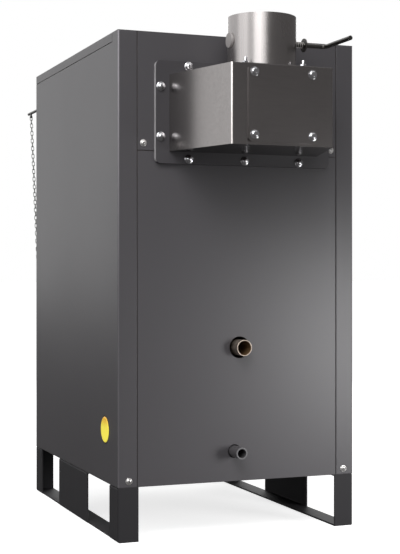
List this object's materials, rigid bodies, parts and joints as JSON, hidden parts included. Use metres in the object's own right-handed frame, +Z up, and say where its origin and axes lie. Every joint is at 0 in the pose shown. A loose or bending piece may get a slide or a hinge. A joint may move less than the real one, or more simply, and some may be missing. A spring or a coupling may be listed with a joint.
{
  "type": "solid fuel boiler",
  "caption": "Floor-standing solid fuel boiler with a sheet casing, side frames, a rear flue hood with a sprung damper, and a draught lever whose chain lifts an air flap.",
  "frame": {"origin": "floor level, at the middle of the overall outline", "axes": "+Z up, doors face -Y, flue and water connections face +Y, the draught chain is near +X"},
  "size_m": [0.463, 0.971, 0.941],
  "materials": {
    "casing_paint": "satin powder coat",
    "door_paint": "satin",
    "frame_paint": "satin powder coat",
    "flue_paint": "satin heat-proof paint",
    "body_steel": "matt",
    "bare_steel": "satin",
    "pipe_paint": "satin",
    "rod_steel": "satin",
    "zinc": "bright zinc",
    "plug_yellow": "matt",
    "handle_black": "matt",
    "regulator_black": "matt",
    "gauge_rim": "satin"
  },
  "bodies": {
    "boiler": {"boiler_body": "body_steel", "base_plate": "casing_paint", "side_panel_right": "casing_paint", "side_panel_left": "casing_paint", "top_cover": "casing_paint", "upper_rear_cover": "casing_paint", "lower_rear_panel": "casing_paint", "front_panel": "casing_paint", "door_frame": "door_paint", "side_plug_right": "plug_yellow", "side_plug_left": "plug_yellow", "leg_frame_right": "frame_paint", "leg_frame_left": "frame_paint", "flue_base_plate": "flue_paint", "flue_hood": "flue_paint", "flue_cover_plate": "flue_paint", "flue_collar": "flue_paint", "damper_boss": "flue_paint", "return_pipe": "bare_steel", "drain_pipe": "pipe_paint", "supply_pipe": "bare_steel", "loading_door": "door_paint", "loading_door_hinges": "door_paint", "loading_door_handle": "handle_black", "ash_door": "door_paint", "ash_door_hinges": "door_paint", "ash_door_handle": "handle_black", "air_inlet": "door_paint", "draught_regulator": "regulator_black", "thermometer": "gauge_rim"},
    "damper": {"damper_handle": "rod_steel", "damper_plate": "bare_steel", "damper_spring": "zinc", "damper_washer": "zinc"},
    "lever": {"regulator_lever": "rod_steel"},
    "chain": {"regulator_chain": "zinc"},
    "flap": {"air_flap": "door_paint"}
  },
  "joints": [
    {"name": "damper_turn", "type": "hinge", "parent": "boiler", "child": "damper", "pos_m": [-0.0065, 0.3895, 0.874], "axis": [1, 0, 0], "range_deg": [0, 90]},
    {"name": "lever_swing", "type": "hinge", "parent": "boiler", "child": "lever", "pos_m": [0.197, -0.3325, 0.84], "axis": [-1, 0, 0], "range_deg": [0, 10]},
    {"name": "chain_swing", "type": "hinge", "parent": "lever", "child": "chain", "pos_m": [0.197, -0.463, 0.833], "axis": [-1, 0, 0], "range_deg": [-10, 0]},
    {"name": "flap_swing", "type": "hinge", "parent": "boiler", "child": "flap", "pos_m": [0.197, -0.3205, 0.25], "axis": [-1, 0, 0], "range_deg": [0, 40]}
  ],
  "couplings": [
    {"joint": "flap_swing", "follows": "lever_swing", "ratio": 3.985},
    {"joint": "chain_swing", "follows": "lever_swing", "ratio": -0.9638}
  ]
}
